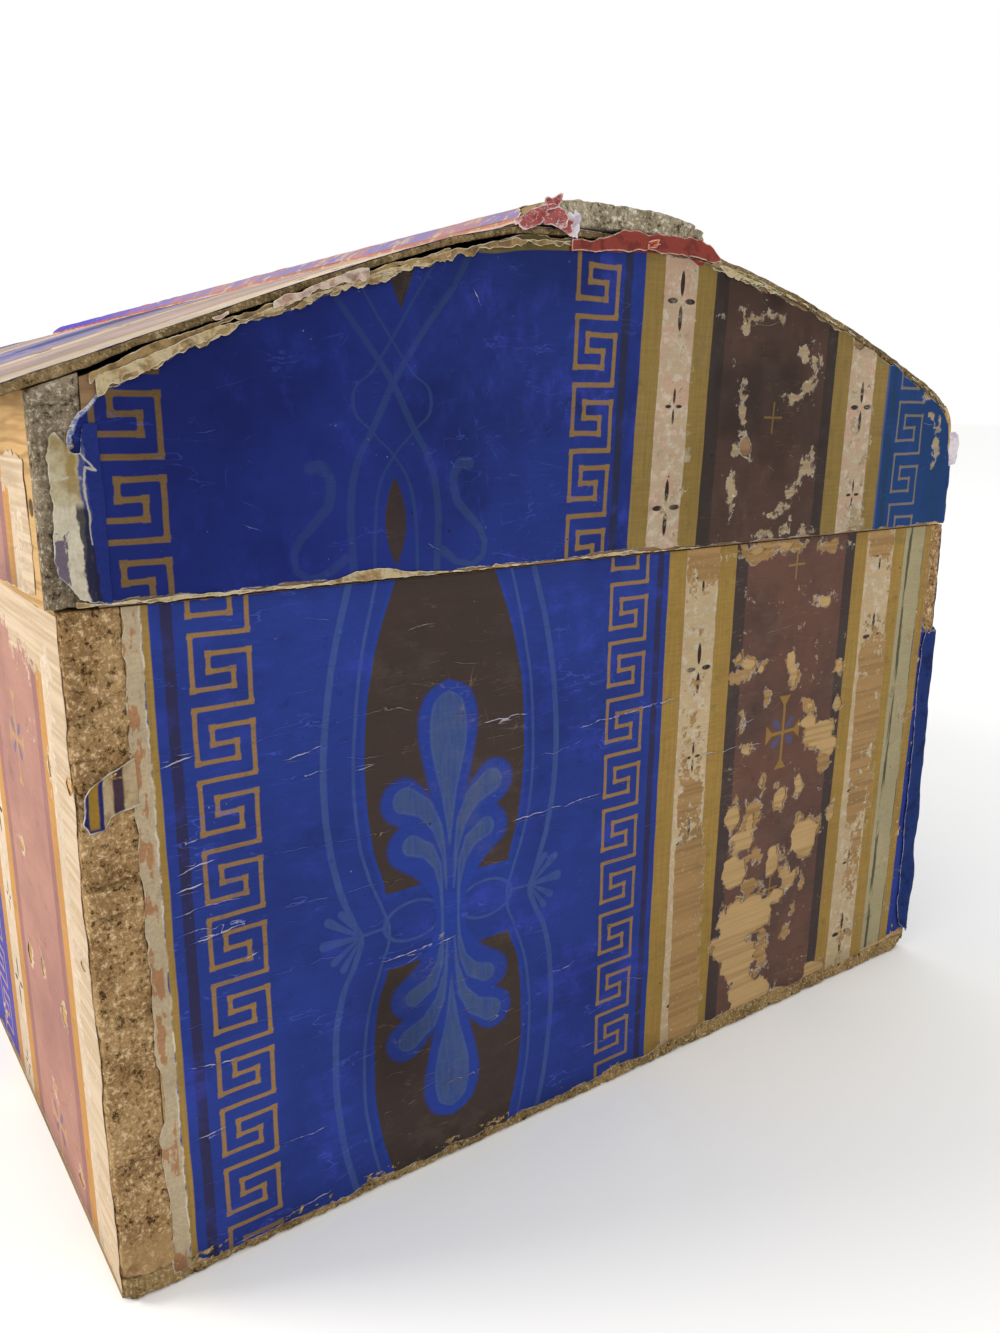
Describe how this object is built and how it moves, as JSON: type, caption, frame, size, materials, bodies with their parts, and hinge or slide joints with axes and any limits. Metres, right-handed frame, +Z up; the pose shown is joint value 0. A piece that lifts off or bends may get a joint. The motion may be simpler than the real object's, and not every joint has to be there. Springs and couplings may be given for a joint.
{
  "type": "dome top trunk",
  "caption": "Paper-covered wooden storage trunk with a low arched lid that hinges at the back, a batten along the crown and a box lock in the front board.",
  "frame": {"origin": "centre of the footprint, on the surface that the trunk stands on", "axes": "+X along the trunk towards the end that the picture shows, +Y towards the hinged back, +Z up"},
  "size_m": [0.8, 0.52, 0.4245],
  "materials": {
    "pine": "raw, aged, unfinished",
    "old_pine": "raw, weathered and dirty",
    "dome_pine": "raw thin bent board",
    "blue_paper": "block-printed matt paper, blue ground with gold, brown and cream bands",
    "stripe_paper": "block-printed matt paper, striped",
    "red_paper": "matt red and blue paper, torn",
    "iron": "forged, rusted brown",
    "brass": "dull, tarnished"
  },
  "bodies": {
    "base": {"base_back_board": "pine", "base_back_paper": "stripe_paper", "base_front_board": "pine", "base_front_paper": "stripe_paper", "base_left_end_board": "pine", "base_left_end_paper": "blue_paper", "base_nail_back_left_lower": "iron", "base_nail_back_left_upper": "iron", "base_nail_back_right_lower": "iron", "base_nail_back_right_upper": "iron", "base_nail_front_left_lower": "iron", "base_nail_front_left_upper": "iron", "base_nail_front_right_lower": "iron", "base_nail_front_right_upper": "iron", "base_right_end_board": "pine", "base_right_end_paper": "blue_paper", "bottom_back_board": "old_pine", "bottom_front_board": "old_pine", "hinge_left_base_leaf": "iron", "hinge_left_pin": "iron", "hinge_nail_base_left_inner": "iron", "hinge_nail_base_left_outer": "iron", "hinge_nail_base_right_inner": "iron", "hinge_nail_base_right_outer": "iron", "hinge_right_base_leaf": "iron", "hinge_right_pin": "iron", "keyhole_escutcheon": "brass", "lock_bolt_spring": "iron", "lock_case": "iron"},
    "lid": {"batten_nail_left": "iron", "batten_nail_middle": "iron", "batten_nail_right": "iron", "crown_batten": "old_pine", "crown_paper": "red_paper", "dome_back_panel": "dome_pine", "dome_back_paper": "stripe_paper", "dome_front_panel": "dome_pine", "dome_front_paper": "stripe_paper", "hinge_left_lid_leaf": "iron", "hinge_nail_lid_left_inner": "iron", "hinge_nail_lid_left_outer": "iron", "hinge_nail_lid_right_inner": "iron", "hinge_nail_lid_right_outer": "iron", "hinge_right_lid_leaf": "iron", "lid_back_paper": "stripe_paper", "lid_back_rail": "pine", "lid_front_paper": "stripe_paper", "lid_front_rail": "pine", "lid_left_end_board": "pine", "lid_left_end_paper": "blue_paper", "lid_nail_back_left": "iron", "lid_nail_back_right": "iron", "lid_nail_front_left": "iron", "lid_nail_front_right": "iron", "lid_right_end_board": "pine", "lid_right_end_paper": "blue_paper", "lock_staple": "iron"},
    "lock_bolt": {"lock_bolt": "iron"}
  },
  "joints": [
    {"name": "lid_hinge", "type": "hinge", "parent": "base", "child": "lid", "pos_m": [0, 0.2542, 0.2743], "axis": [-1, 0, 0], "range_deg": [0, 105]},
    {"name": "lock_bolt_slide", "type": "slide", "parent": "base", "child": "lock_bolt", "axis": [1, 0, 0], "range_m": [0, 0.009]}
  ]
}
